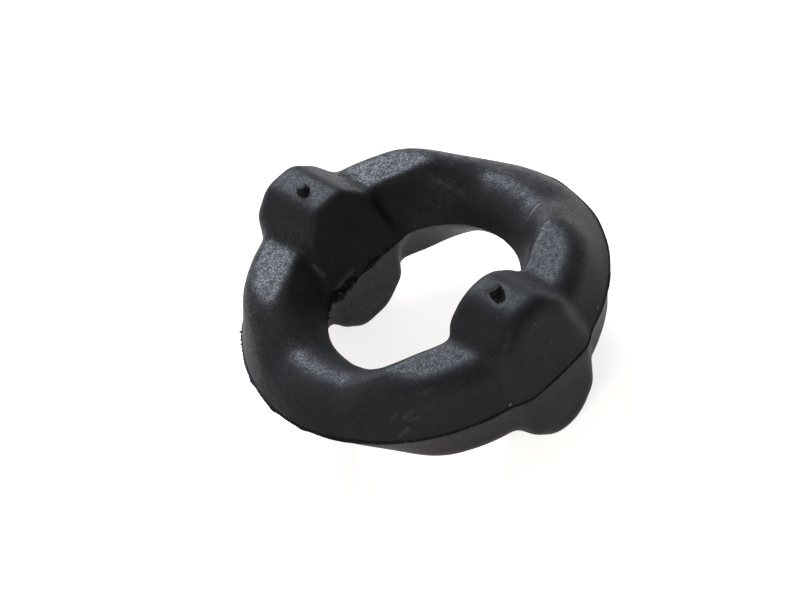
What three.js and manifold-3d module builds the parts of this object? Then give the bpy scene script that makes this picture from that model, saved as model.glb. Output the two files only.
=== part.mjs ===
// Exhaust hanger: a moulded rubber ring that a silencer hangs from, between a hook on the car
// and a hook on the pipe. Both hooks pass through the hole, and two lugs on each face keep them apart.
// Millimetres. The origin is the ring's centre in the plane where the two mould halves met,
// +Z is the ring's axis, and +X runs through the lugs.

import * as THREE from 'three';
import { mergeVertices } from 'three/addons/utils/BufferGeometryUtils.js';
import Module from 'manifold-3d';

// Ring, in the parting plane
const ringOuterRadius = 32;
const holeRadius = 17.25;

// Close to the lugs both walls of the ring swell a little to meet the ends of the lugs
const innerSwell = 1.1;
const outerSwell = 0.55;
const swellEndAngle = 70;

// Ring section beside the lugs: a high bar with a wide flat top
const flatHalfHeight = 9.1;
const flatOuterLean = 3;
const flatInnerLean = 4.4;
const flatOuterFillet = 4;
const flatInnerFillet = 2;

// Ring section half-way between the lugs: a low rounded back, where the hooks bear
const backHalfHeight = 5.5;
const backOuterLean = 4.6;
const backInnerLean = 3.9;
const backFillet = 6.5;

// Angles from the lug line between which the bar's section turns into the back's,
// and between which its height falls
const flatEndAngle = 36;
const backStartAngle = 78;
const fallStartAngle = 48;
const fallEndAngle = 78;

// Lugs: bars across the ring with leaning sides, sloping shoulders and a flat crown
const lugBaseHalfWidth = 7.7;
const lugSideLean = 0.5;
const lugCrownHeight = 14.4;
const lugCrownHalfWidth = 3.15;
const lugShoulderDrop = 3.8;
const lugShoulderRadius = 4;
const lugCrownRadius = 3.5;

// Ends of the lugs, which stand out past both walls of the ring and lean back from the parting plane
const lugInnerStandout = 3.15;
const lugOuterStandout = 1.1;
const lugInnerLean = 3.6;
const lugOuterLean = 1.3;
const lugEdgeRadius = 2.2;

// Thin fin of flash that the parting line leaves all round
const flashThickness = 0.3;
const flashWidth = 0.35;

// Vent pip left standing on one upper lug, a little off its middle towards -Y,
// and the pit where the other pip tore off
const pipRadius = 1;
const pipHeight = 1.3;
const pipRoot = 1;
const pipOffset = 1;
const pitRadius = 1.4;
const pitDepth = 1;

// Largest share of a straight run that the fillet at one end of it may take
const filletShare = 0.48;

// Fineness of the curved faces
const ringStations = 96;
const filletSteps = 5;
const edgeSteps = 4;
const pipSides = 16;
const pitSides = 5;

const rubberBlack = 0x1c1e21;

const wasm = await Module();
wasm.setup();

function mix(from, to, share) {
  return from + (to - from) * share;
}

function smoothShare(from, to, value) {
  return THREE.MathUtils.smoothstep(value, from, to);
}

// Angle in degrees from the nearer end of the lug line, 0 at a lug and 90 half-way between them
function angleFromLugs(turn) {
  return THREE.MathUtils.radToDeg(Math.acos(Math.min(1, Math.abs(Math.cos(turn)))));
}

function ringRadii(turn) {
  const swell = 1 - smoothShare(0, swellEndAngle, angleFromLugs(turn));
  return {
    outer: ringOuterRadius + outerSwell * swell,
    inner: holeRadius - innerSwell * swell,
  };
}

// Points of a curve that rounds the corner between two straight runs
function roundCorner(before, corner, after, radius) {
  const into = corner.clone().sub(before);
  const away = after.clone().sub(corner);
  const turn = Math.abs(into.angleTo(away));
  const room = Math.min(into.length(), away.length()) * filletShare;
  const trim = Math.min(radius * Math.tan(turn / 2), room);
  const start = corner.clone().addScaledVector(into.normalize(), -trim);
  const end = corner.clone().addScaledVector(away.normalize(), trim);
  const curve = new THREE.QuadraticBezierCurve(start, corner, end);
  return curve.getPoints(filletSteps);
}

// Closed section of the ring at one angle, as radius and height
function ringSection(turn) {
  const angle = angleFromLugs(turn);
  const share = smoothShare(flatEndAngle, backStartAngle, angle);
  const { outer, inner } = ringRadii(turn);
  const height = mix(flatHalfHeight, backHalfHeight, smoothShare(fallStartAngle, fallEndAngle, angle));
  const outerFoot = new THREE.Vector2(outer, 0);
  const outerEdge = new THREE.Vector2(outer - mix(flatOuterLean, backOuterLean, share), height);
  const innerEdge = new THREE.Vector2(inner + mix(flatInnerLean, backInnerLean, share), height);
  const innerFoot = new THREE.Vector2(inner, 0);
  const outerFillet = mix(flatOuterFillet, backFillet, share);
  const innerFillet = mix(flatInnerFillet, backFillet, share);
  const upper = [
    outerFoot,
    ...roundCorner(outerFoot, outerEdge, innerEdge, outerFillet),
    ...roundCorner(innerFoot, innerEdge, outerEdge, innerFillet).reverse(),
    innerFoot,
  ];
  const lower = upper.slice(1, -1).reverse().map((point) => new THREE.Vector2(point.x, -point.y));
  return [...upper, ...lower];
}

// Solid from a list of equal loops, each joined to the next. A closed row of loops makes a ring,
// and an open one is capped by a fan round the two given centres.
function loft(loops, centres = null) {
  const size = loops[0].length;
  const vertices = loops.flat();
  const faces = [];
  const spans = centres ? loops.length - 1 : loops.length;
  for (let i = 0; i < spans; i += 1) {
    const here = i * size;
    const next = ((i + 1) % loops.length) * size;
    for (let j = 0; j < size; j += 1) {
      const k = (j + 1) % size;
      faces.push(here + j, next + j, next + k, here + j, next + k, here + k);
    }
  }
  if (centres) {
    const last = (loops.length - 1) * size;
    const firstCentre = vertices.push(centres[0]) - 1;
    const lastCentre = vertices.push(centres[1]) - 1;
    for (let j = 0; j < size; j += 1) {
      const k = (j + 1) % size;
      faces.push(firstCentre, j, k, lastCentre, last + k, last + j);
    }
  }
  const geometry = new THREE.BufferGeometry().setFromPoints(vertices);
  geometry.setIndex(faces);
  return geometry;
}

function solidOf(geometry) {
  const bare = geometry.clone();
  bare.deleteAttribute('normal');
  bare.deleteAttribute('uv');
  const merged = mergeVertices(bare);
  const mesh = new wasm.Mesh({
    numProp: 3,
    vertProperties: new Float32Array(merged.attributes.position.array),
    triVerts: new Uint32Array(merged.index.array),
  });
  return new wasm.Manifold(mesh);
}

function geometryOf(solid) {
  const mesh = solid.getMesh();
  const geometry = new THREE.BufferGeometry();
  geometry.setAttribute('position', new THREE.BufferAttribute(mesh.vertProperties, 3));
  geometry.setIndex(new THREE.BufferAttribute(mesh.triVerts, 1));
  geometry.computeVertexNormals();
  return geometry;
}

function ringSolid() {
  const loops = [];
  for (let i = 0; i < ringStations; i += 1) {
    const turn = (i / ringStations) * 2 * Math.PI;
    loops.push(ringSection(turn).map((point) => (
      new THREE.Vector3(point.x * Math.cos(turn), point.x * Math.sin(turn), point.y)
    )));
  }
  return solidOf(loft(loops));
}

// Where the lugs end, measured in the parting plane
const lugInnerEnd = holeRadius - lugInnerStandout;
const lugOuterEnd = ringOuterRadius + lugOuterStandout;

// Corner of a convex outline, moved inwards by an inset from both of its sides
function insetCorner(before, corner, after, inset) {
  const into = corner.clone().sub(before).normalize();
  const away = after.clone().sub(corner).normalize();
  const normal = new THREE.Vector2(-into.y, into.x);
  const otherNormal = new THREE.Vector2(-away.y, away.x);
  const reach = inset / (1 + normal.dot(otherNormal));
  return corner.clone().addScaledVector(normal.add(otherNormal), reach);
}

// Closed outline of an upper and a lower lug seen along X, as across and height, shrunk by an inset
function lugOutline(inset) {
  const shoulderHeight = lugCrownHeight - lugShoulderDrop;
  const shoulderHalfWidth = lugBaseHalfWidth - lugSideLean;
  const quarter = [
    { corner: [lugBaseHalfWidth, 0], radius: 0 },
    { corner: [shoulderHalfWidth, shoulderHeight], radius: lugShoulderRadius },
    { corner: [lugCrownHalfWidth, lugCrownHeight], radius: lugCrownRadius },
  ];
  const mirrored = quarter.map(({ corner, radius }) => ({ corner: [-corner[0], corner[1]], radius }));
  const upper = [...quarter, ...mirrored.reverse()];
  const lower = upper.slice(1, -1).map(({ corner, radius }) => ({ corner: [corner[0], -corner[1]], radius }));
  const all = [...upper, ...lower.reverse()];
  const corners = all.map(({ corner }) => new THREE.Vector2(...corner));
  const shrunk = corners.map((corner, i) => (
    insetCorner(corners.at(i - 1), corner, corners[(i + 1) % corners.length], inset)
  ));
  return all.flatMap(({ radius }, i) => {
    if (radius === 0) {
      return [shrunk[i]];
    }
    return roundCorner(shrunk.at(i - 1), shrunk[i], shrunk[(i + 1) % shrunk.length], radius);
  });
}

// An upper and a lower lug in one, across the ring on the +X side. Their ends lean back
// from the parting plane, so that they leave the mould, and have rounded edges.
function lugPairSolid() {
  const loops = [];
  for (const end of ['outer', 'inner']) {
    for (let i = 0; i <= edgeSteps; i += 1) {
      const step = end === 'outer' ? edgeSteps - i : i;
      const angle = (step / edgeSteps) * (Math.PI / 2);
      const inset = lugEdgeRadius * (1 - Math.cos(angle));
      const depth = lugEdgeRadius * (1 - Math.sin(angle));
      loops.push(lugOutline(inset).map((point) => {
        const rise = Math.abs(point.y) / lugCrownHeight;
        const along = end === 'outer'
          ? lugOuterEnd - lugOuterLean * rise - depth
          : lugInnerEnd + lugInnerLean * rise + depth;
        return new THREE.Vector3(along, point.x, point.y);
      }));
    }
  }
  const centres = [new THREE.Vector3(lugOuterEnd, 0, 0), new THREE.Vector3(lugInnerEnd, 0, 0)];
  return solidOf(loft(loops, centres));
}

// Radius of the part's own outline in the parting plane, on its outside or in its hole
function outlineRadius(turn, where) {
  const along = Math.abs(Math.cos(turn));
  const across = Math.abs(Math.sin(turn));
  const radii = ringRadii(turn);
  if (where === 'outer') {
    const atEnd = lugOuterEnd / Math.max(along, Number.EPSILON);
    return atEnd * across < lugBaseHalfWidth ? Math.max(radii.outer, atEnd) : radii.outer;
  }
  const atEnd = lugInnerEnd / Math.max(along, Number.EPSILON);
  return atEnd * across < lugBaseHalfWidth ? Math.min(radii.inner, atEnd) : radii.inner;
}

function outlinePoints(where, offset) {
  const points = [];
  for (let i = 0; i < ringStations; i += 1) {
    const turn = (i / ringStations) * 2 * Math.PI;
    const radius = outlineRadius(turn, where) + offset;
    points.push(new THREE.Vector2(radius * Math.cos(turn), radius * Math.sin(turn)));
  }
  return points;
}

function flashSolid() {
  const sheet = new THREE.Shape(outlinePoints('outer', flashWidth));
  sheet.holes.push(new THREE.Path(outlinePoints('hole', -flashWidth)));
  const geometry = new THREE.ExtrudeGeometry(sheet, { depth: flashThickness, bevelEnabled: false });
  geometry.translate(0, 0, -flashThickness / 2);
  return solidOf(geometry);
}

// Middle of a lug's crown, on the +X side
const crownMiddle = (lugInnerEnd + lugInnerLean + lugOuterEnd - lugOuterLean) / 2;

function pipSolid() {
  const pip = new THREE.CylinderGeometry(pipRadius, pipRadius, pipHeight + pipRoot, pipSides);
  pip.rotateX(Math.PI / 2);
  pip.translate(-crownMiddle, -pipOffset, lugCrownHeight + (pipHeight - pipRoot) / 2);
  return solidOf(pip);
}

// A cone twice the pit's size, point down, whose lower half is sunk in the crown
function pitSolid() {
  const pit = new THREE.ConeGeometry(pitRadius * 2, pitDepth * 2, pitSides);
  pit.rotateX(-Math.PI / 2);
  pit.translate(crownMiddle, 0, lugCrownHeight);
  return solidOf(pit);
}

function makeHanger() {
  const lugs = lugPairSolid();
  const otherLugs = lugs.rotate([0, 0, 180]);
  const body = ringSolid().add(lugs).add(otherLugs).add(flashSolid());
  return body.add(pipSolid()).subtract(pitSolid());
}

const rubber = new THREE.MeshStandardMaterial({ color: rubberBlack, roughness: 0.62, metalness: 0 });
const hangerRing = new THREE.Mesh(geometryOf(makeHanger()), rubber);
hangerRing.name = 'hanger_ring';

const exhaustHanger = new THREE.Group();
exhaustHanger.add(hangerRing);

export default exhaustHanger;
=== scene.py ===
"""Exhaust hanger: a moulded rubber ring with two lugs on each face, dressed for a studio picture."""

import math

import bmesh
import bpy
import numpy as np
from mathutils import Matrix, Vector


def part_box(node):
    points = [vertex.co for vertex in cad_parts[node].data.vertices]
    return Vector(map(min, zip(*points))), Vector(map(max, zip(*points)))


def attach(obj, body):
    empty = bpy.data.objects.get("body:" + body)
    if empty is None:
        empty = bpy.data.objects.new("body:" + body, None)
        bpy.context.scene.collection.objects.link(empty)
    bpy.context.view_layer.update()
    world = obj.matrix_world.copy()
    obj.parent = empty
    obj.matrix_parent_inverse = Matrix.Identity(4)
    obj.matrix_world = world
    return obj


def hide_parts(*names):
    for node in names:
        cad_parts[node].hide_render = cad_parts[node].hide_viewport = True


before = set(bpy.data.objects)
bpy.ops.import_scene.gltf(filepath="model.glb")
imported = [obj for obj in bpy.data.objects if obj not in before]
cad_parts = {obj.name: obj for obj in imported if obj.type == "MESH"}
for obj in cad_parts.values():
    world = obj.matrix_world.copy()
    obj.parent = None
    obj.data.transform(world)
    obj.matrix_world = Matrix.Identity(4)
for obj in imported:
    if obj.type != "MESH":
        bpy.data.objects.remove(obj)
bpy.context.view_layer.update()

# The shape functions work in millimetres, and Blender's meshes are in metres
MM = 0.001
NODE = "hanger_ring"
low_corner, high_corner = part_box(NODE)

# Sizes read from the frame
FLASH_WIDTH = 0.35
CROWN = -low_corner.z / MM
PIP_TOP = high_corner.z / MM
RING_RADIUS = high_corner.y / MM - FLASH_WIDTH
LUG_REACH = high_corner.x / MM - FLASH_WIDTH

# Ring in the parting plane
HOLE_RADIUS = 17.23
INNER_SWELL = 1.12
OUTER_SWELL = 0.58
SWELL_END = 70.0

# Ring section beside the lugs: a high bar with a wide flat top. A bow is how far a wall
# stands proud of a straight one at half its height, and the leans are over WALL_HEIGHT.
# A bow carries on past the top of its wall, up to BOW_END times the wall's height.
BOW_END = 1.3
WALL_HEIGHT = 9.1
FLAT_HEIGHT = 9.09
FLAT_OUTER_LEAN = 2.53
FLAT_INNER_LEAN = 3.97
FLAT_OUTER_BOW = -0.18
FLAT_INNER_BOW = -0.33
FLAT_OUTER_BLEND = 3.32
FLAT_INNER_BLEND = 1.3

# Ring section half-way between the lugs: a low rounded back
BACK_WALL_HEIGHT = 8.6
BACK_HEIGHT = 6.73
BACK_OUTER_LEAN = 8.57
BACK_INNER_LEAN = 6.95
BACK_OUTER_BOW = 0.9
BACK_INNER_BOW = 1.0
BACK_OUTER_BLEND = 5.95
BACK_INNER_BLEND = 4.35
BACK_TILT = 0.1
TILT_CENTRE = 24.6

# Angles from the lug line between which the section turns, and between which its height falls
FLAT_END = 36.4
BACK_START = 78.2
FALL_START = 51.4
FALL_END = 77.8
SWELLING_ANGLE = 64.2
SWELLING_SPREAD = 6.6
SWELLING_HEIGHT = 0.6

# Lugs: leaning sides, shoulders at 45 degrees, a flat crown, and ends that lean back.
# Where a lug meets the ring, the blend at its foot swells its outer end a little.
LUG_HALF_WIDTH = 7.69
LUG_SIDE_LEAN = 0.66
LUG_SHOULDER_CUT = 2.76
LUG_SHOULDER_BLEND = 0.91
LUG_CROWN_BLEND = 1.83
LUG_FOOT_SWELL = 0.69
LUG_INNER_END = 14.11
LUG_INNER_LEAN = 3.54
LUG_OUTER_LEAN = 1.25
LUG_INNER_EDGE_BLEND = 2.41
LUG_OUTER_EDGE_BLEND = 3.0
LUG_FOOT_BLEND = 2.7

# The -X lugs stand out a little further, lean less at their outer end and have crisper crowns
PIP_LUG_STANDOUT = 0.43
PIP_LUG_LEAN = -0.46
PIP_LUG_CROWN_BLEND = 1.3
PIP_LUG_INNER_EDGE_BLEND = 1.5

# Slight unevenness that a worn mould and a soft part have. It grows over WOBBLE_RUN from the
# parting line, and fades out between the two drops below the crown.
WOBBLE_DEPTH = 0.07
WOBBLE_LENGTH = 9.0
WOBBLE_RUN = 2.0
WOBBLE_FADE_DROP = 1.5
WOBBLE_END_DROP = 0.5

# Fineness of the body's mesh and of the numeric slopes taken on it
NET_STEP = 0.4
SLOPE_STEP = 0.02
SETTLE_ROUNDS = 5
LEAST_SLOPE_SQUARED = 0.05

# Torn pit in the crown of the +X lug: its outline, shallow at one end and deep at the other
PIT_CORNERS = (
    (22.8, 1.5), (23.9, 1.1), (24.6, 0.6), (25.4, 0.1), (25.8, -0.5), (25.8, -1.3),
    (25.2, -1.6), (24.3, -1.5), (23.4, -1.3), (22.7, -1.1), (22.2, -0.7), (22.3, -0.3), (22.7, 0.2),
)
PIT_DEPTH = 1.25
PIT_SHALLOW_SHARE = 0.3
PIT_SHALLOW_END = (22.3, -0.9)
PIT_DEEP_END = (23.9, -0.1)
PIT_WALL = 0.55
PIT_DISH_DEPTH = 0.1
PIT_DISH_WIDTH = 1.0
PIT_CUTS = 3

# How far round the pit's middle the crown is worked on, how far inside that the work fades out,
# and the thickness of the layer that counts as the crown
PIT_REACH = 3.6
PIT_FADE_START = 1.2
PIT_FADE_END = 0.4
CROWN_LAYER = 0.3

# Vent pip standing on the crown of the -X lug
PIP_PLACE = (-23.85, -0.55)
PIP_RADIUS = 1.07
PIP_FOOT = 0.18
PIP_TOP_SLANT = 0.16
PIP_SIDES = 40

# Lip that the parting line leaves along the outside and in the hole
LIP_STATIONS = 1500
LIP_ROOT = 0.35
OUTER_LIP_WIDTH = 0.14
OUTER_LIP_LEAST = 0.02
OUTER_LIP_FLARE = 0.36
INNER_LIP_WIDTH = 0.05
INNER_LIP_FLARE = 0.12

# Torn flakes and small corners on the outer lip, and teeth on the inner one: where they are and how
# far they spread, in degrees, and how far they stand out
FLAKES_TURN = 226
FLAKES_SPREAD = 6
FLAKES_WIDTH = 0.28
CORNER_TURNS = (246, 261, 275)
CORNER_SPREAD = 2.2
CORNER_WIDTH = 0.24
TEETH_TURN = 222
TEETH_SPREAD = 11
TEETH_WIDTH = 0.16

# Room left between the scene's pieces and the solid part's box
BOX_ROOM = 0.02

# Torn flash along the foot of the -X lug, on the hole's side. Each clump is its place along Y,
# its spread and its size.
TEAR_TURNS = (150.0, 222.0)
TEAR_STATIONS = 260
TEAR_SIDES = 24
TEAR_THIN = 0.12
TEAR_LEAST = 0.03
TEAR_START_RUN = 4
TEAR_END_RUN = 3
TEAR_CLUMPS = (
    (-7.4, 1.5, 1.15), (-4.6, 1.3, 0.95), (1.2, 1.4, 0.6), (4.4, 0.6, 0.25), (-9.6, 0.8, 0.25),
)

SEED = 7


# Plain number helpers

def smooth_step(start, end, value):
    share = np.clip((value - start) / (end - start), 0, 1)
    return share * share * (3 - 2 * share)


def mix(first, second, share):
    return first + (second - first) * share


def smooth_max(first, second, blend):
    near = np.maximum(blend - np.abs(first - second), 0) / blend
    return np.maximum(first, second) + near * near * blend / 4


def smooth_min(first, second, blend):
    return -smooth_max(-first, -second, blend)


def hump(value, middle, spread):
    return np.exp(-(((value - middle) / spread) ** 2))


def ripple(points, wavelength, seed, waves=9):
    """Smooth seeded noise, about -1 to 1, that varies over the given wavelength."""
    source = np.random.default_rng(seed)
    total = np.zeros(len(points))
    for _ in range(waves):
        direction = source.normal(size=points.shape[1])
        direction /= np.linalg.norm(direction)
        length = wavelength * source.uniform(0.7, 1.5)
        phase = source.uniform(0, 2 * math.pi)
        total += np.sin(points @ direction * (2 * math.pi / length) + phase)
    return total / math.sqrt(waves)


# The moulded body as a field: negative inside the rubber, in millimetres

def ring_field(points):
    x, y, height = points[:, 0], points[:, 1], np.abs(points[:, 2])
    radius = np.hypot(x, y)
    angle = np.degrees(np.arctan2(np.abs(y), np.abs(x)))
    share = smooth_step(FLAT_END, BACK_START, angle)
    fall = smooth_step(FALL_START, FALL_END, angle)
    swell = 1 - smooth_step(0, SWELL_END, angle)
    top = mix(FLAT_HEIGHT, BACK_HEIGHT, fall) + SWELLING_HEIGHT * hump(angle, SWELLING_ANGLE, SWELLING_SPREAD)
    wall = mix(WALL_HEIGHT, BACK_WALL_HEIGHT, share)
    rise = np.clip(height / wall, 0, BOW_END)
    bow = 4 * rise * (1 - rise)
    outer_foot = RING_RADIUS + OUTER_SWELL * swell + mix(FLAT_OUTER_BOW, BACK_OUTER_BOW, share) * bow
    inner_foot = HOLE_RADIUS - INNER_SWELL * swell - mix(FLAT_INNER_BOW, BACK_INNER_BOW, share) * bow
    outer_lean = mix(FLAT_OUTER_LEAN, BACK_OUTER_LEAN, share)
    inner_lean = mix(FLAT_INNER_LEAN, BACK_INNER_LEAN, share)
    outer_wall = ((radius - outer_foot) * wall + height * outer_lean) / np.hypot(wall, outer_lean)
    inner_wall = ((inner_foot - radius) * wall + height * inner_lean) / np.hypot(wall, inner_lean)
    tilt = BACK_TILT * share
    lid = (height - top - tilt * (radius - TILT_CENTRE)) / np.hypot(1, tilt)
    shoulder = smooth_max(outer_wall, lid, mix(FLAT_OUTER_BLEND, BACK_OUTER_BLEND, share))
    return smooth_max(shoulder, inner_wall, mix(FLAT_INNER_BLEND, BACK_INNER_BLEND, share))


def lug_field(points):
    along, across, height = np.abs(points).T
    with_pip = points[:, 0] < 0
    side = ((across - LUG_HALF_WIDTH) * CROWN + height * LUG_SIDE_LEAN) / math.hypot(CROWN, LUG_SIDE_LEAN)
    crown_edge = LUG_HALF_WIDTH - LUG_SIDE_LEAN
    shoulder = (across - crown_edge + height - CROWN) / math.sqrt(2) + LUG_SHOULDER_CUT
    bar = smooth_max(side, shoulder, LUG_SHOULDER_BLEND)
    bar = smooth_max(bar, height - CROWN, mix(LUG_CROWN_BLEND, PIP_LUG_CROWN_BLEND, with_pip))
    inner_slope = LUG_INNER_LEAN / CROWN
    outer_slope = (LUG_OUTER_LEAN + PIP_LUG_LEAN * with_pip) / CROWN
    outer_foot = LUG_REACH - LUG_FOOT_SWELL + PIP_LUG_STANDOUT * with_pip
    inner_end = (LUG_INNER_END + inner_slope * height - along) / math.hypot(1, inner_slope)
    outer_end = (along - outer_foot + outer_slope * height) / np.hypot(1, outer_slope)
    bar = smooth_max(bar, inner_end, mix(LUG_INNER_EDGE_BLEND, PIP_LUG_INNER_EDGE_BLEND, with_pip))
    return smooth_max(bar, outer_end, LUG_OUTER_EDGE_BLEND)


def body_field(points):
    return smooth_min(ring_field(points), lug_field(points), LUG_FOOT_BLEND)


def field_slope(points):
    slope = np.empty_like(points)
    for axis in range(3):
        shift = np.zeros(3)
        shift[axis] = SLOPE_STEP
        slope[:, axis] = (body_field(points + shift) - body_field(points - shift)) / (2 * SLOPE_STEP)
    return slope


# The body's surface: a net of quads over the field's zero level

def grid_points(low, step, counts):
    axes = [low[i] + step * np.arange(counts[i]) for i in range(3)]
    return np.stack(np.meshgrid(*axes, indexing="ij"), -1).reshape(-1, 3)


def net_surface(field, low, step):
    """One point in each grid cell that the surface crosses, and one face over each crossed grid edge."""
    cells = tuple(n - 1 for n in field.shape)
    total = np.zeros(cells + (3,))
    count = np.zeros(cells, int)
    crossings = []
    for axis in range(3):
        first = np.take(field, range(field.shape[axis] - 1), axis)
        second = np.take(field, range(1, field.shape[axis]), axis)
        crossed = (first < 0) != (second < 0)
        share = np.where(crossed, first / np.where(crossed, first - second, 1), 0)
        where = np.argwhere(crossed)
        place = where.astype(float)
        place[:, axis] += share[crossed]
        others = [i for i in range(3) if i != axis]
        around = []
        for shift_a, shift_b in ((-1, -1), (0, -1), (0, 0), (-1, 0)):
            cell = where.copy()
            cell[:, others[0]] += shift_a
            cell[:, others[1]] += shift_b
            around.append(cell)
            np.add.at(total, tuple(cell.T), place)
            np.add.at(count, tuple(cell.T), 1)
        leaves = first[crossed] < 0
        if axis == 1:
            leaves = ~leaves
        crossings.append((around, leaves))
    used = count > 0
    number = np.full(cells, -1)
    number[used] = np.arange(used.sum())
    points = low + step * total[used] / count[used][:, None]
    faces = []
    for around, leaves in crossings:
        quads = np.stack([number[tuple(cell.T)] for cell in around], 1)
        quads[~leaves] = quads[~leaves][:, ::-1]
        faces.append(quads)
    return points, np.concatenate(faces)


def relax(points, faces):
    """Moves each point half-way to the middle of its neighbours."""
    total = np.zeros_like(points)
    count = np.zeros(len(points))
    for i in range(4):
        here, there = faces[:, i], faces[:, (i + 1) % 4]
        np.add.at(total, here, points[there])
        np.add.at(count, here, 1)
        np.add.at(total, there, points[here])
        np.add.at(count, there, 1)
    return mix(points, total / count[:, None], 0.5)


def settle(points, faces):
    """Evens out the net and brings it back onto the surface, with the parting line kept in its plane."""
    parting = np.abs(points[:, 2]) < NET_STEP / 4
    for _ in range(SETTLE_ROUNDS):
        points = relax(points, faces)
        points[parting, 2] = 0
        for _ in range(2):
            slope = field_slope(points)
            size = np.maximum((slope ** 2).sum(1), LEAST_SLOPE_SQUARED)
            move = (body_field(points) / size)[:, None] * slope
            points = points - np.clip(move, -NET_STEP, NET_STEP)
            points[parting, 2] = 0
    return points


def unevenness(points):
    """How far each point sinks below the even form: nothing at the parting line and on the crowns."""
    height = np.abs(points[:, 2])
    faded = smooth_step(CROWN - WOBBLE_FADE_DROP, CROWN - WOBBLE_END_DROP, height)
    share = smooth_step(0, WOBBLE_RUN, height) * (1 - faded)
    return share * WOBBLE_DEPTH * (1 + ripple(points, WOBBLE_LENGTH, SEED)) / 2


def smooth_faces(mesh):
    mesh.validate()
    mesh.shade_smooth()


def mesh_piece(name, points, faces):
    mesh = bpy.data.meshes.new(name)
    mesh.from_pydata((np.asarray(points) * MM).tolist(), [], np.asarray(faces).tolist())
    smooth_faces(mesh)
    piece = bpy.data.objects.new(name, mesh)
    bpy.context.scene.collection.objects.link(piece)
    return piece


# The pit where a vent pip tore off, sunk into the crown

def signed_distance(places, corners):
    """Distance in the crown's plane to a closed outline, negative inside it."""
    corners = np.asarray(corners, float)
    nearest = np.full(len(places), np.inf)
    inside = np.zeros(len(places), bool)
    for start, end in zip(corners, np.roll(corners, -1, 0)):
        run = end - start
        share = np.clip(((places - start) @ run) / (run @ run), 0, 1)
        gap = places - start - share[:, None] * run
        nearest = np.minimum(nearest, np.hypot(*gap.T))
        spans = (start[1] > places[:, 1]) != (end[1] > places[:, 1])
        rise = end[1] - start[1] if end[1] != start[1] else 1
        crossing = start[0] + (places[:, 1] - start[1]) * run[0] / rise
        inside ^= spans & (places[:, 0] < crossing)
    return np.where(inside, -nearest, nearest)


def pit_sink(places):
    """Change of height over the pit: a hole that deepens from one end to the other, in a shallow dish."""
    edge = signed_distance(places, PIT_CORNERS) + 0.05 * ripple(places, 0.9, SEED + 1)
    run = np.subtract(PIT_DEEP_END, PIT_SHALLOW_END)
    along = (places - np.array(PIT_SHALLOW_END)) @ run / (run @ run)
    depth = PIT_DEPTH * mix(PIT_SHALLOW_SHARE, 1, smooth_step(0, 1, along))
    hole = depth * smooth_step(0.08, -PIT_WALL, edge) * (1 + 0.08 * ripple(places, 0.6, SEED + 2))
    dish = PIT_DISH_DEPTH * (1 - smooth_step(0, PIT_DISH_WIDTH, np.maximum(edge, 0)))
    return -hole - dish


def sink_pit(piece):
    middle = np.mean(PIT_CORNERS, 0)
    work = bmesh.new()
    work.from_mesh(piece.data)
    near = []
    for face in work.faces:
        place = face.calc_center_median() / MM
        away = math.hypot(place.x - middle[0], place.y - middle[1])
        if place.z > CROWN - CROWN_LAYER and away < PIT_REACH:
            near.append(face)
    edges = list({edge for face in near for edge in face.edges})
    bmesh.ops.subdivide_edges(work, edges=edges, cuts=PIT_CUTS, use_grid_fill=True)
    points = [v for v in work.verts if v.co.z > (CROWN - CROWN_LAYER) * MM and v.co.x > 0]
    places = np.array([(v.co.x, v.co.y) for v in points]) / MM
    reach = np.hypot(*(places - middle).T)
    faded = smooth_step(PIT_REACH - PIT_FADE_START, PIT_REACH - PIT_FADE_END, reach)
    sink = pit_sink(places) * (1 - faded)
    for vertex, change in zip(points, sink):
        vertex.co.z += change * MM
    work.to_mesh(piece.data)
    work.free()
    smooth_faces(piece.data)


def moulded_body():
    margin = 2 * NET_STEP
    reach = np.array([LUG_REACH + FLASH_WIDTH, RING_RADIUS + OUTER_SWELL, CROWN]) + margin
    half_counts = np.ceil(reach / NET_STEP).astype(int) + 1
    low = -(half_counts - 0.5) * NET_STEP
    counts = 2 * half_counts
    field = body_field(grid_points(low, NET_STEP, counts)).reshape(counts)
    points, faces = net_surface(field, low, NET_STEP)
    points = settle(points, faces)
    slope = field_slope(points)
    slope /= np.linalg.norm(slope, axis=1)[:, None]
    points = points - unevenness(points)[:, None] * slope
    piece = mesh_piece("moulded_body", points, faces)
    sink_pit(piece)
    return piece


# The parting line

def parting_outline(where, turns):
    """Radius of the body's outline in the parting plane at each turn, on the outside or in the hole."""
    directions = np.stack([np.cos(turns), np.sin(turns), np.zeros(len(turns))], 1)
    inside = np.full(len(turns), (RING_RADIUS + HOLE_RADIUS) / 2)
    outside = np.full(len(turns), LUG_REACH + 2 if where == "outer" else LUG_INNER_END - 2)
    for _ in range(24):
        middle = (inside + outside) / 2
        filled = body_field(directions * middle[:, None]) < 0
        inside = np.where(filled, middle, inside)
        outside = np.where(filled, outside, middle)
    return inside


def closed_strip(name, loops):
    """A closed tube through equal loops of points, the last joined to the first."""
    loops = np.asarray(loops)
    count, sides = loops.shape[:2]
    here = np.arange(count)[:, None] * sides + np.arange(sides)
    ahead = np.roll(here, -1, 0)
    faces = np.stack([here, ahead, np.roll(ahead, -1, 1), np.roll(here, -1, 1)], -1)
    return mesh_piece(name, loops.reshape(-1, 3), faces.reshape(-1, 4))


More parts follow.
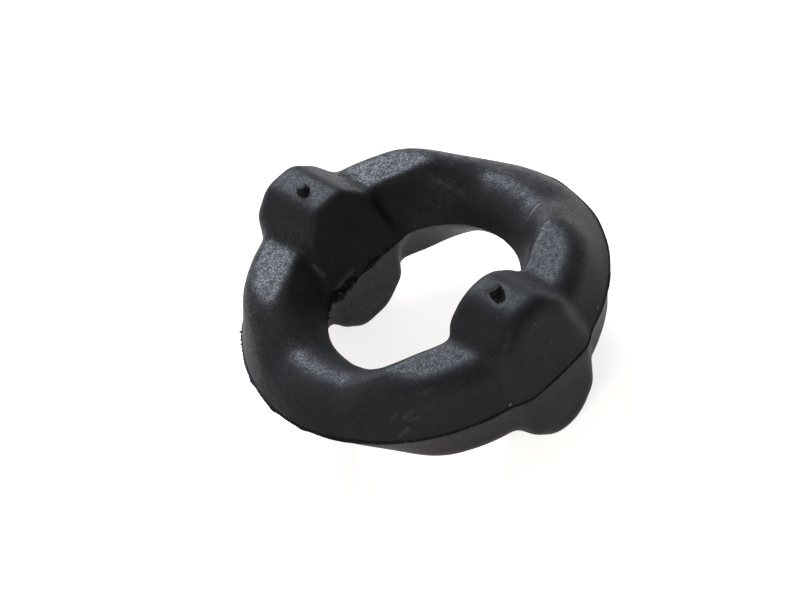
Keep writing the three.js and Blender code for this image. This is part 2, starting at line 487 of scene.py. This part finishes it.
def parting_lip(where):
    """Lip of flash: its upper side carries on the wall above, and its underside is cut back."""
    turns = np.arange(LIP_STATIONS) / LIP_STATIONS * 2 * math.pi
    radius = parting_outline(where, turns)
    outwards = 1 if where == "outer" else -1
    places = np.stack([np.cos(turns), np.sin(turns)], 1) * radius[:, None]
    coarse = ripple(places, 7, SEED + 3)
    fine = ripple(places, 0.9, SEED + 4)
    if where == "outer":
        width = OUTER_LIP_WIDTH * (1 + 0.45 * coarse + 0.12 * fine) + ragged_flakes(turns)
        width = np.clip(width, OUTER_LIP_LEAST, None)
        width = np.minimum(width, outer_room(turns, radius))
        flare = OUTER_LIP_FLARE
    else:
        teeth = np.maximum(fine + 0.4, 0) * hump(np.degrees(turns), TEETH_TURN, TEETH_SPREAD)
        width = np.clip(INNER_LIP_WIDTH * (1 + 0.8 * coarse) + TEETH_WIDTH * teeth, 0.0, None)
        flare = INNER_LIP_FLARE
    level = np.ones(LIP_STATIONS)
    # Each row is how far the section stands out from the wall, and its height there
    section = (
        (-LIP_ROOT * level, flare * 1.6 * level),
        (-0.1 * level, flare * level),
        (width * 0.6, 0.08 * level),
        (width, 0.03 * level),
        (width, -0.02 * level),
        (-0.04 * level, -0.07 * level),
        (-LIP_ROOT * level, -0.4 * level),
    )
    loops = []
    for step, height in section:
        at = radius + outwards * step
        loops.append(np.stack([np.cos(turns) * at, np.sin(turns) * at, height], 1))
    loops = np.stack(loops, 1)
    if where == "outer":
        loops = loops[:, ::-1]
    return closed_strip(f"parting_lip_{where}", loops)


def ragged_flakes(turns):
    """Extra width where the photograph shows torn flakes and small corners on the outside."""
    degrees = np.degrees(turns)
    teeth = np.maximum(ripple(turns[:, None] * RING_RADIUS, 1.1, SEED + 5, waves=5) + 0.3, 0)
    flakes = FLAKES_WIDTH * teeth * hump(degrees, FLAKES_TURN, FLAKES_SPREAD)
    corners = sum(CORNER_WIDTH * hump(degrees, middle, CORNER_SPREAD) for middle in CORNER_TURNS)
    return flakes + corners


def outer_room(turns, radius):
    """Room for the lip inside the solid part's own flash, ends and sides alike."""
    along = (LUG_REACH + FLASH_WIDTH - BOX_ROOM) / np.maximum(np.abs(np.cos(turns)), 1e-6)
    across = (RING_RADIUS + FLASH_WIDTH - BOX_ROOM) / np.maximum(np.abs(np.sin(turns)), 1e-6)
    return np.maximum(np.minimum(along, across) - radius, BOX_ROOM / 2)


# Torn flash along the foot of the lug with the pip, facing the hole

def torn_flash():
    """A grainy ridge of torn rubber that follows the hole's outline, in clumps of uneven size."""
    start, end = TEAR_TURNS
    turns = np.radians(np.linspace(start, end, TEAR_STATIONS))
    inwards = -np.stack([np.cos(turns), np.sin(turns)], 1)
    foot = -inwards * parting_outline("inner", turns)[:, None]
    across = foot[:, 1]
    bulk = TEAR_THIN + sum(size * hump(across, middle, spread) for middle, spread, size in TEAR_CLUMPS)
    bulk = bulk * smooth_step(start, start + TEAR_START_RUN, np.degrees(turns))
    bulk = bulk * smooth_step(end, end - TEAR_END_RUN, np.degrees(turns)) + TEAR_LEAST
    loops = []
    for side in range(TEAR_SIDES):
        angle = side / TEAR_SIDES * 2 * math.pi
        rise = bulk * (0.8 * math.sin(angle) + 0.15)
        stand = 0.05 + 0.42 * bulk * math.cos(angle) - 0.25 * np.abs(rise)
        loops.append(np.column_stack([foot + inwards * stand[:, None], rise]))
    loops = np.stack(loops, 1)
    flat = loops.reshape(-1, 3)
    crumbs = np.abs(ripple(flat, 0.55, SEED + 6)) * 0.3 + ripple(flat, 1.0, SEED + 7) * 0.2 - 0.15
    away = loops - loops.mean(1, keepdims=True)
    away /= np.maximum(np.linalg.norm(away, axis=2, keepdims=True), 1e-6)
    loops = loops + away * crumbs.reshape(TEAR_STATIONS, TEAR_SIDES, 1) * np.sqrt(bulk)[:, None, None]
    return capped_tube("torn_flash", loops)


def capped_tube(name, loops):
    count, sides = loops.shape[:2]
    here = np.arange(count - 1)[:, None] * sides + np.arange(sides)
    turned = np.roll(here, -1, 1)
    faces = np.stack([here, turned, turned + sides, here + sides], -1).reshape(-1, 4).tolist()
    faces.append(list(range(sides))[::-1])
    faces.append(list(range((count - 1) * sides, count * sides)))
    return mesh_piece(name, loops.reshape(-1, 3), faces_as_lists(faces))


def faces_as_lists(faces):
    return np.array([np.array(face) for face in faces], dtype=object)


# Vent pip

def vent_pip():
    """A stub of rubber with a small fillet at its foot and a slightly slanting, uneven top."""
    tall = PIP_TOP - CROWN - BOX_ROOM
    # Each row is a radius and its height over the crown
    profile = (
        (PIP_RADIUS + PIP_FOOT, -0.15),
        (PIP_RADIUS + PIP_FOOT * 0.75, 0.0),
        (PIP_RADIUS + PIP_FOOT * 0.2, 0.12),
        (PIP_RADIUS, 0.3),
        (PIP_RADIUS * 0.99, tall * 0.45),
        (PIP_RADIUS * 0.95, tall - 0.48),
        (PIP_RADIUS * 0.85, tall - 0.24),
        (PIP_RADIUS * 0.68, tall - 0.09),
        (PIP_RADIUS * 0.4, tall - 0.01),
        (PIP_RADIUS * 0.15, tall),
    )
    turns = np.arange(PIP_SIDES) / PIP_SIDES * 2 * math.pi
    points = []
    for radius, height in profile:
        ring = np.stack([radius * np.cos(turns), radius * np.sin(turns), np.full(PIP_SIDES, height)], 1)
        ring[:, :2] *= 1 + 0.02 * ripple(ring, 1.6, SEED + 8)[:, None]
        slant = PIP_TOP_SLANT * (1 - ring[:, 0] / PIP_RADIUS) / 2
        ring[:, 2] -= smooth_step(0.4, 1, height / tall) * (slant + 0.02 * (1 + ripple(ring, 1.3, SEED + 9)))
        points.append(ring)
    points = np.concatenate(points) + np.array([*PIP_PLACE, CROWN])
    points[:, 2] = np.minimum(points[:, 2], PIP_TOP - BOX_ROOM / 2)
    faces = []
    for row in range(len(profile) - 1):
        for side in range(PIP_SIDES):
            turned = (side + 1) % PIP_SIDES
            here = row * PIP_SIDES
            faces.append([here + side, here + turned, here + PIP_SIDES + turned, here + PIP_SIDES + side])
    last = (len(profile) - 1) * PIP_SIDES
    faces.append(list(range(last, last + PIP_SIDES)))
    faces.append(list(range(PIP_SIDES))[::-1])
    return mesh_piece("vent_pip", points, faces_as_lists(faces))


# Stage

PHOTO_WIDTH = 800
SENSOR_WIDTH = 36
NEAR_CLIP = 0.01
CAMERA_FOCAL_PIXELS = 4000
CAMERA_DISTANCE = 0.672
CAMERA_TURN = math.radians(61.88)
CAMERA_RISE = math.radians(43.18)
CAMERA_ROLL = math.radians(-22.91)
CAMERA_AIM = Vector((-2.62, -2.94, 0.98)) * MM


def photo_camera():
    camera = bpy.data.objects.new("camera", bpy.data.cameras.new("camera"))
    bpy.context.scene.collection.objects.link(camera)
    camera.data.sensor_width = SENSOR_WIDTH
    camera.data.lens = CAMERA_FOCAL_PIXELS / PHOTO_WIDTH * SENSOR_WIDTH
    camera.data.clip_start = NEAR_CLIP
    level = math.cos(CAMERA_RISE)
    back = Vector((level * math.sin(CAMERA_TURN), -level * math.cos(CAMERA_TURN), math.sin(CAMERA_RISE)))
    turn = back.to_track_quat("Z", "Y").to_matrix().to_4x4()
    roll = Matrix.Rotation(CAMERA_ROLL, 4, "Z")
    camera.matrix_world = Matrix.Translation(CAMERA_AIM + back * CAMERA_DISTANCE) @ turn @ roll
    bpy.context.scene.camera = camera


LAMP_DISTANCE = 2.5
LAMP_SIZE = 1.3


def softbox(name, turn, rise, watts, colour):
    """A square lamp that looks at the part from the given turn and rise, in degrees."""
    lamp = bpy.data.lights.new(name, "AREA")
    lamp.shape = "RECTANGLE"
    lamp.size = LAMP_SIZE
    lamp.size_y = LAMP_SIZE
    lamp.energy = watts
    lamp.color = colour
    box = bpy.data.objects.new(name, lamp)
    level = math.cos(math.radians(rise))
    away = Vector((
        level * math.cos(math.radians(turn)),
        level * math.sin(math.radians(turn)),
        math.sin(math.radians(rise)),
    ))
    box.location = away * LAMP_DISTANCE
    box.rotation_euler = away.to_track_quat("Z", "Y").to_euler()
    bpy.context.scene.collection.objects.link(box)


# A hair's gap keeps the floor from coinciding with the crowns that rest on it. The glow, at the
# strength of the lift, is seen by the camera and in reflections alone.
FLOOR_SIZE = 8
FLOOR_GAP = 0.00002
FLOOR_COLOUR = (0.95, 0.88, 0.83, 1)
FLOOR_GLOW = (1, 0.99, 0.98, 1)
FLOOR_LIFT = 0.8


def pale_floor():
    bpy.ops.mesh.primitive_plane_add(size=FLOOR_SIZE, location=(0, 0, low_corner.z - FLOOR_GAP))
    floor = bpy.context.object
    floor.name = "floor"
    material = bpy.data.materials.new("floor")
    material.use_nodes = True
    nodes, links = material.node_tree.nodes, material.node_tree.links
    shader = nodes["Principled BSDF"]
    shader.inputs["Base Color"].default_value = FLOOR_COLOUR
    shader.inputs["Roughness"].default_value = 0.9
    shader.inputs["Specular IOR Level"].default_value = 0.1
    paths = nodes.new("ShaderNodeLightPath")
    seen = paths.outputs["Is Camera Ray"]
    for ray in ("Is Glossy Ray", "Is Transmission Ray"):
        either = nodes.new("ShaderNodeMath")
        either.operation = "MAXIMUM"
        links.new(seen, either.inputs[0])
        links.new(paths.outputs[ray], either.inputs[1])
        seen = either.outputs[0]
    lift = nodes.new("ShaderNodeMath")
    lift.operation = "MULTIPLY"
    lift.inputs[1].default_value = FLOOR_LIFT
    links.new(seen, lift.inputs[0])
    shader.inputs["Emission Color"].default_value = FLOOR_GLOW
    links.new(lift.outputs[0], shader.inputs["Emission Strength"])
    floor.data.materials.append(material)


WORLD_STRENGTH = 0.15


def studio_world():
    world = bpy.data.worlds.new("studio")
    bpy.context.scene.world = world
    world.use_nodes = True
    world.node_tree.nodes["Background"].inputs["Color"].default_value = (1.0, 1.0, 1.0, 1)
    world.node_tree.nodes["Background"].inputs["Strength"].default_value = WORLD_STRENGTH


# Effects that the rubber finishes are made of, each a node group over places on the part in metres

class Sheet:
    """One node tree with short ways to add nodes to it."""

    def __init__(self, tree):
        self.tree = tree

    def node(self, kind, inputs=None, **settings):
        made = self.tree.nodes.new(kind)
        for name, value in settings.items():
            setattr(made, name, value)
        for key, value in (inputs or {}).items():
            if isinstance(value, bpy.types.NodeSocket):
                self.tree.links.new(value, made.inputs[key])
            else:
                made.inputs[key].default_value = value
        return made

    def maths(self, operation, first, second=0.0):
        return self.node("ShaderNodeMath", {0: first, 1: second}, operation=operation).outputs[0]

    def vectors(self, operation, first, second, output="Vector"):
        return self.node("ShaderNodeVectorMath", {0: first, 1: second}, operation=operation).outputs[output]

    def noise(self, place, scale, detail=2.0, roughness=0.5):
        made = self.node("ShaderNodeTexNoise", {
            "Vector": place, "Scale": scale, "Detail": detail, "Roughness": roughness,
        })
        return made.outputs["Fac"]

    def window(self, value, start, end):
        """0 below start and 1 above end, or the other way round where start is above end."""
        made = self.node("ShaderNodeMapRange", {
            "Value": value, "From Min": start, "From Max": end,
        }, interpolation_type="SMOOTHSTEP")
        return made.outputs["Result"]

    def blend(self, share, first, second):
        made = self.node("ShaderNodeMix", data_type="RGBA")
        for name, value in (("Factor_Float", share), ("A_Color", first), ("B_Color", second)):
            socket = next(s for s in made.inputs if s.identifier == name)
            if isinstance(value, bpy.types.NodeSocket):
                self.tree.links.new(value, socket)
            else:
                socket.default_value = value
        return next(s for s in made.outputs if s.identifier == "Result_Color")


def effect_group(name, inputs, outputs):
    """An empty node group with the given inputs, each a kind and a default, and float outputs."""
    tree = bpy.data.node_groups.new(name, "ShaderNodeTree")
    for label, (kind, default) in inputs.items():
        socket = tree.interface.new_socket(label, in_out="INPUT", socket_type=kind)
        if default is not None:
            socket.default_value = default
    for label in outputs:
        tree.interface.new_socket(label, in_out="OUTPUT", socket_type="NodeSocketFloat")
    start = tree.nodes.new("NodeGroupInput")
    end = tree.nodes.new("NodeGroupOutput")
    return Sheet(tree), start.outputs, end.inputs


PLACE = {"Place": ("NodeSocketVector", None)}


def number(default):
    return ("NodeSocketFloat", default)


def grain_group():
    """Fine pebbled grain of a sand-blasted mould, with larger uneven patches in it."""
    sheet, given, result = effect_group(
        "mould_grain", {**PLACE, "Scale": number(3000), "Patch Scale": number(900)}, ["Height", "Sparkle"],
    )
    fine = sheet.noise(given["Place"], given["Scale"], 3, 0.75)
    coarse = sheet.noise(given["Place"], given["Patch Scale"], 4, 0.6)
    height = sheet.maths("ADD", fine, coarse)
    sparkle = sheet.maths("MULTIPLY", sheet.window(fine, 0.38, 0.64), sheet.window(coarse, 0.25, 0.62))
    sheet.tree.links.new(height, result["Height"])
    sheet.tree.links.new(sparkle, result["Sparkle"])
    return sheet.tree


def film_group():
    """Thin uneven film of dirt and bloom, in soft clouds."""
    sheet, given, result = effect_group(
        "dirt_film", {**PLACE, "Scale": number(90), "Amount": number(0.5)}, ["Mask"],
    )
    cloud = sheet.noise(given["Place"], given["Scale"], 5, 0.62)
    mask = sheet.maths("MULTIPLY", sheet.window(cloud, 0.35, 0.7), given["Amount"])
    sheet.tree.links.new(mask, result["Mask"])
    return sheet.tree


def specks_group():
    """Sparse pale specks of dust of uneven size."""
    sheet, given, result = effect_group(
        "dust_specks", {**PLACE, "Scale": number(1500), "Share": number(0.02), "Size": number(0.2)}, ["Mask"],
    )
    cells = sheet.node("ShaderNodeTexVoronoi", {"Vector": given["Place"], "Scale": given["Scale"]})
    split = sheet.node("ShaderNodeSeparateColor", {"Color": cells.outputs["Color"]})
    chosen = sheet.maths("LESS_THAN", split.outputs["Red"], given["Share"])
    size = sheet.maths("MULTIPLY", given["Size"], sheet.maths("ADD", split.outputs["Green"], 0.4))
    spot = sheet.maths("LESS_THAN", cells.outputs["Distance"], size)
    sheet.tree.links.new(sheet.maths("MULTIPLY", chosen, spot), result["Mask"])
    return sheet.tree


def mark_group():
    """A pale mark along a line from Start to End, broken up by its own grain, used for scuffs and dust and
    also for a painted highlight.
    """
    inputs = {
        **PLACE,
        "Start": ("NodeSocketVector", None), "End": ("NodeSocketVector", None),
        "Half Width": number(0.0005), "Grain Scale": number(6000), "Cover": number(0.5),
    }
    sheet, given, result = effect_group("scuff_and_highlight_mark", inputs, ["Mask"])
    run = sheet.vectors("SUBTRACT", given["End"], given["Start"])
    reach = sheet.vectors("SUBTRACT", given["Place"], given["Start"])
    share = sheet.node("ShaderNodeMath", {
        0: sheet.vectors("DOT_PRODUCT", reach, run, "Value"),
        1: sheet.vectors("DOT_PRODUCT", run, run, "Value"),
    }, operation="DIVIDE", use_clamp=True).outputs[0]
    nearest = sheet.node("ShaderNodeVectorMath", {0: run, "Scale": share}, operation="SCALE").outputs[0]
    gap = sheet.vectors("DISTANCE", reach, nearest, "Value")
    nearness = sheet.window(sheet.maths("DIVIDE", gap, given["Half Width"]), 1.0, 0.0)
    grain = sheet.noise(given["Place"], given["Grain Scale"], 3, 0.7)
    level = sheet.maths("SUBTRACT", 0.9, sheet.maths("MULTIPLY", given["Cover"], 0.6))
    kept = sheet.window(sheet.maths("SUBTRACT", grain, level), -0.16, 0.12)
    sheet.tree.links.new(sheet.maths("MULTIPLY", nearness, kept), result["Mask"])
    return sheet.tree


# Scuffs and dust on the moulded body, and a painted highlight on one crease, in millimetres: start, end, half
# width, cover and how pale
PALE_MARKS_AND_HIGHLIGHT = (
    ((18.4, -24.0, 4.0), (19.0, -23.2, 4.8), 0.55, 0.6, 0.075),
    ((20.1, -22.9, 4.1), (21.2, -21.6, 5.2), 0.7, 0.6, 0.08),
    ((20.7, -22.6, 3.7), (22.3, -21.3, 3.8), 0.6, 0.6, 0.075),
    ((19.8, -24.7, 1.2), (20.8, -23.3, 2.2), 0.7, 0.6, 0.08),
    # The next two strokes are a painted highlight: a pale V on the crease between the flat bar beside the +X
    # lug and the low back
    ((8.1, 20.6, 5.8), (7.6, 23.0, 5.9), 0.42, 0.8, 0.2),
    ((8.2, 19.4, 5.6), (8.1, 20.8, 5.8), 0.25, 0.7, 0.12),
    ((-16.9, -7.9, 6.5), (-15.8, -7.6, 4.4), 0.7, 0.6, 0.13),
    ((-14.2, -7.4, 1.4), (-14.3, -3.0, 1.6), 0.8, 0.75, 0.09),
    ((27.4, -8.1, 9.4), (28.6, -8.1, 8.7), 0.4, 0.5, 0.07),
    ((31.2, 6.0, 8.6), (31.7, 6.7, 4.8), 0.3, 0.45, 0.07),
    ((7.9, 29.3, 2.3), (16.4, 26.6, 1.6), 0.25, 0.45, 0.07),
    ((30.8, -9.7, 0.6), (30.9, -9.6, 0.7), 0.3, 1.2, 0.2),
    ((29.0, 13.6, 1.0), (29.1, 13.5, 1.0), 0.3, 1.2, 0.2),
    ((-21.3, -5.4, 12.3), (-21.2, -5.4, 12.3), 0.2, 1.2, 0.12),
)

PALE_DUST = (0.075, 0.073, 0.072, 1)
# Colour of the film of dirt, and also of the painted reflection of the floor that lightens the undersides
BROWN_FILM_AND_FLOOR_REFLECTION = (0.045, 0.041, 0.039, 1)

# How much rougher the rubber is where the film of dirt is thick, and the roughness of its gloss
FILM_ROUGHNESS = 0.12
GLOSS_ROUGHNESS = 0.42

# Places along X between which the rubber's gloss rises towards the lug with the pip, and by how much
GLOSS_START = 0.006
GLOSS_END = -0.014
GLOSS_RISE = 0.75

# Heights between which the gloss fades towards the crowns, and how much of it is gone there
RUB_START = 0.0105
RUB_END = 0.0135
CROWN_RUB = 0.6

# Share of the gloss on the drafted walls, which left the mould smoother and duller than the tops
WALL_GLOSS = 0.3
WALL_FACING = 0.4
TOP_FACING = 0.8

# Heights between which a painted reflection of the floor, in the brown film's colour, thickens below the
# parting line, and how much of it is laid on there
FLOOR_REFLECTION_START = 0.0003
FLOOR_REFLECTION_END = -0.0025
FLOOR_REFLECTION_SHARE = 0.55


def rubber(name, base_colour, roughness, specular, film, gloss, grain_depth, dust_share, marks=()):
    """Black moulded rubber: grain that sparkles a little, a film of dirt, specks of dust, pale scuffs and a
    painted highlight, and a painted reflection of the floor that lightens it below the parting line.
    """
    material = bpy.data.materials.new(name)
    material.use_nodes = True
    sheet = Sheet(material.node_tree)
    shader = material.node_tree.nodes["Principled BSDF"]
    surface = sheet.node("ShaderNodeTexCoord")
    place = surface.outputs["Object"]
    grain = sheet.node("ShaderNodeGroup", {}, node_tree=GRAIN)
    clouds = sheet.node("ShaderNodeGroup", {}, node_tree=FILM)
    dust = sheet.node("ShaderNodeGroup", {}, node_tree=SPECKS)
    clouds.inputs["Amount"].default_value = film
    dust.inputs["Share"].default_value = dust_share
    for group in (grain, clouds, dust):
        sheet.tree.links.new(place, group.inputs["Place"])
    split = sheet.node("ShaderNodeSeparateXYZ", {"Vector": place})
    # Painted reflection of the floor: the rubber turns lighter and browner below the parting line
    painted_floor_reflection = sheet.maths("MULTIPLY", sheet.window(split.outputs["Z"], FLOOR_REFLECTION_START, FLOOR_REFLECTION_END), FLOOR_REFLECTION_SHARE)
    colour = sheet.blend(sheet.maths("ADD", clouds.outputs["Mask"], painted_floor_reflection), (*base_colour, 1), BROWN_FILM_AND_FLOOR_REFLECTION)
    colour = sheet.blend(dust.outputs["Mask"], colour, PALE_DUST)
    # Pale marks: scuffs and dust, and on the body also a painted highlight on one crease
    for start, end, half_width, cover, paleness in marks:
        mark = sheet.node("ShaderNodeGroup", {}, node_tree=MARK)
        sheet.tree.links.new(place, mark.inputs["Place"])
        mark.inputs["Start"].default_value = [value * MM for value in start]
        mark.inputs["End"].default_value = [value * MM for value in end]
        mark.inputs["Half Width"].default_value = half_width * MM
        mark.inputs["Cover"].default_value = cover
        colour = sheet.blend(mark.outputs["Mask"], colour, (paleness, paleness, paleness, 1))
    rough = sheet.maths("MULTIPLY_ADD", clouds.outputs["Mask"], FILM_ROUGHNESS)
    rough.node.inputs[2].default_value = roughness
    rise = sheet.maths("MULTIPLY", sheet.window(split.outputs["X"], GLOSS_START, GLOSS_END), GLOSS_RISE)
    rub = sheet.window(sheet.maths("ABSOLUTE", split.outputs["Z"]), RUB_START, RUB_END)
    kept = sheet.maths("SUBTRACT", 1.0, sheet.maths("MULTIPLY", rub, CROWN_RUB))
    facing = sheet.node("ShaderNodeSeparateXYZ", {"Vector": surface.outputs["Normal"]}).outputs["Z"]
    level = sheet.window(sheet.maths("ABSOLUTE", facing), WALL_FACING, TOP_FACING)
    level = sheet.maths("ADD", WALL_GLOSS, sheet.maths("MULTIPLY", level, 1 - WALL_GLOSS))
    coat = sheet.maths("MULTIPLY", grain.outputs["Sparkle"], gloss)
    for share in (sheet.maths("ADD", 1.0, rise), kept, level):
        coat = sheet.maths("MULTIPLY", coat, share)
    bump = sheet.node("ShaderNodeBump", {
        "Height": grain.outputs["Height"], "Distance": grain_depth * MM, "Strength": 1.0,
    })
    sheet.tree.links.new(colour, shader.inputs["Base Color"])
    sheet.tree.links.new(rough, shader.inputs["Roughness"])
    sheet.tree.links.new(coat, shader.inputs["Coat Weight"])
    sheet.tree.links.new(bump.outputs["Normal"], shader.inputs["Normal"])
    shader.inputs["Specular IOR Level"].default_value = specular
    shader.inputs["Coat Roughness"].default_value = GLOSS_ROUGHNESS
    return material


photo_camera()
studio_world()
pale_floor()
softbox("back_softbox", turn=155, rise=36, watts=92, colour=(0.78, 0.87, 1.0))
softbox("front_fill", turn=298, rise=32, watts=17, colour=(1.0, 0.98, 0.97))

GRAIN = grain_group()
FILM = film_group()
SPECKS = specks_group()
MARK = mark_group()
body_rubber = rubber(
    "black_rubber", base_colour=(0.0255, 0.0242, 0.0262), roughness=0.5, specular=0.06,
    film=0.3, gloss=0.46, grain_depth=0.018, dust_share=0.015, marks=PALE_MARKS_AND_HIGHLIGHT,
)
pip_rubber = rubber(
    "pip_rubber", base_colour=(0.013, 0.0125, 0.0125), roughness=0.55, specular=0.12,
    film=0.3, gloss=0.15, grain_depth=0.02, dust_share=0.0,
)
torn_rubber = rubber(
    "torn_rubber", base_colour=(0.006, 0.0055, 0.0055), roughness=0.6, specular=0.12,
    film=0.15, gloss=0.1, grain_depth=0.06, dust_share=0.22,
)
finishes = {
    moulded_body(): body_rubber,
    vent_pip(): pip_rubber,
    parting_lip("outer"): torn_rubber,
    parting_lip("inner"): body_rubber,
    torn_flash(): torn_rubber,
}
for piece, finish in finishes.items():
    piece.data.materials.append(finish)
    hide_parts(NODE)
    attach(piece, "root")

bpy.context.scene.view_settings.view_transform = "Standard"
